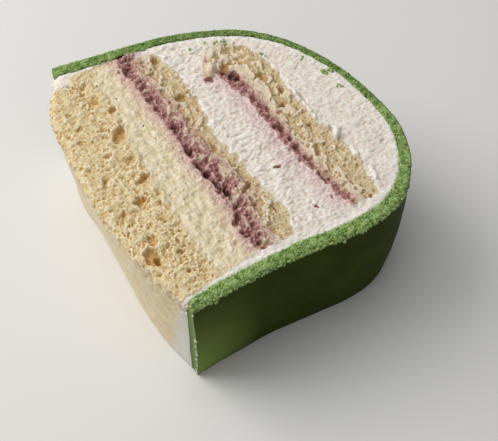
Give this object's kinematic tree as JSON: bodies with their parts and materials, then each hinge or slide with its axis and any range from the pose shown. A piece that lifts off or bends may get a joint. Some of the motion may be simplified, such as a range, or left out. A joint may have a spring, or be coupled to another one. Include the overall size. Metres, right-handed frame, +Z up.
{
  "type": "princess cake slice",
  "caption": "Slab slice of a domed princess cake lying on a cut face: sponge, custard, jam and whipped cream layers inside a marzipan coat.",
  "frame": {"origin": "centre of the slice's box, on the plane of the cut face that it lies on", "axes": "+X from the sponge base of the cake to the crown of its dome, +Y across the width of the cake, +Z up through the thickness of the slice to the cut face that shows"},
  "size_m": [0.1128, 0.1181, 0.0573],
  "materials": {
    "marzipan": "green marzipan: smooth and faintly glossy outside, granular where cut",
    "cream": "ivory whipped cream, finely rippled by the knife",
    "sponge": "pale golden sponge crumb with open holes",
    "custard": "set vanilla custard, soft and slightly moist",
    "jam": "dark red jam, soaked pink into the cream beside it"
  },
  "bodies": {
    "root": {"marzipan": "marzipan", "cream_coat": "cream", "base_sponge": "sponge", "custard": "custard", "jam_lower": "jam", "middle_sponge": "sponge", "middle_cream": "cream", "jam_upper": "jam", "top_sponge": "sponge"}
  },
  "joints": []
}
